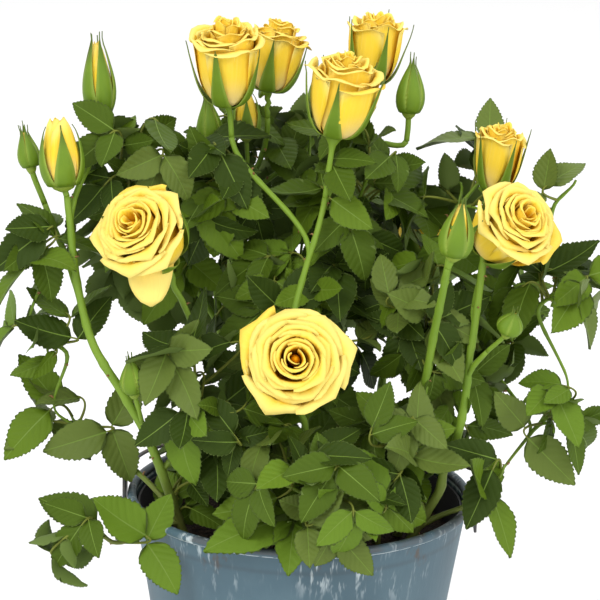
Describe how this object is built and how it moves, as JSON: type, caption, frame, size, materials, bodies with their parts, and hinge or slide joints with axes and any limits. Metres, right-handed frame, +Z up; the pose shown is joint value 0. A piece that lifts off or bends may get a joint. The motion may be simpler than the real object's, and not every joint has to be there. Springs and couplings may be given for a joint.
{
  "type": "potted miniature rose bush",
  "caption": "Miniature rose bush with open yellow flowers, buds and leafy masses on thin canes, in a round tapered metal bucket pot with a swinging wire bail.",
  "frame": {"origin": "centre of the pot's flat underside", "axes": "+Z up along the pot's axis, -Y towards the front of the plant, X across through the two ear plates"},
  "size_m": [0.2666, 0.1908, 0.3365],
  "materials": {
    "painted_zinc": "satin blue-grey paint, worn through at the rim",
    "bare_steel": "dull dark steel",
    "liner_plastic": "matt black",
    "soil": "rough dark compost",
    "green_stem": "smooth green bark",
    "bud_green": "satin",
    "foliage": "satin green leaves",
    "petals": "soft matt"
  },
  "bodies": {
    "planter": {"bud_back": "bud_green", "bud_left_open": "bud_green", "bud_left_small": "bud_green", "bud_left_tall": "bud_green", "bud_right_front": "bud_green", "bud_right_green": "bud_green", "cane_back_left": "green_stem", "cane_back_right": "green_stem", "cane_front": "green_stem", "cane_left": "green_stem", "cane_middle": "green_stem", "cane_right": "green_stem", "cane_right_inner": "green_stem", "ear_left": "bare_steel", "ear_right": "bare_steel", "flower_back_left": "petals", "flower_back_right": "petals", "flower_front": "petals", "flower_left": "petals", "flower_right": "petals", "flower_right_small": "petals", "flower_top_back": "petals", "flower_top_centre": "petals", "flower_top_left": "petals", "flower_top_right": "petals", "mass_back_left": "foliage", "mass_back_low": "foliage", "mass_back_right": "foliage", "mass_back_upper": "foliage", "mass_centre": "foliage", "mass_front_low": "foliage", "mass_left_front": "foliage", "mass_left_low": "foliage", "mass_left_middle": "foliage", "mass_left_sprig": "foliage", "mass_left_upper": "foliage", "mass_left_upper_outer": "foliage", "mass_right_front": "foliage", "mass_right_hanging": "foliage", "mass_right_inner": "foliage", "mass_right_low": "foliage", "mass_right_middle": "foliage", "mass_right_upper": "foliage", "mass_right_upper_outer": "foliage", "mass_top_left": "foliage", "mass_top_right": "foliage", "pot": "painted_zinc", "pot_liner": "liner_plastic", "soil": "soil", "stalk_back_left": "green_stem", "stalk_back_right": "green_stem", "stalk_front": "green_stem", "stalk_left": "green_stem", "stalk_right": "green_stem", "stalk_right_small": "green_stem", "stalk_top_back": "green_stem", "stalk_top_centre": "green_stem", "stalk_top_left": "green_stem", "stalk_top_right": "green_stem"},
    "handle": {"bail": "bare_steel"}
  },
  "joints": [
    {"name": "bail_hinge", "type": "hinge", "parent": "planter", "child": "handle", "pos_m": [0, 0, 0.141], "axis": [1, 0, 0], "range_deg": [0, 20]}
  ]
}
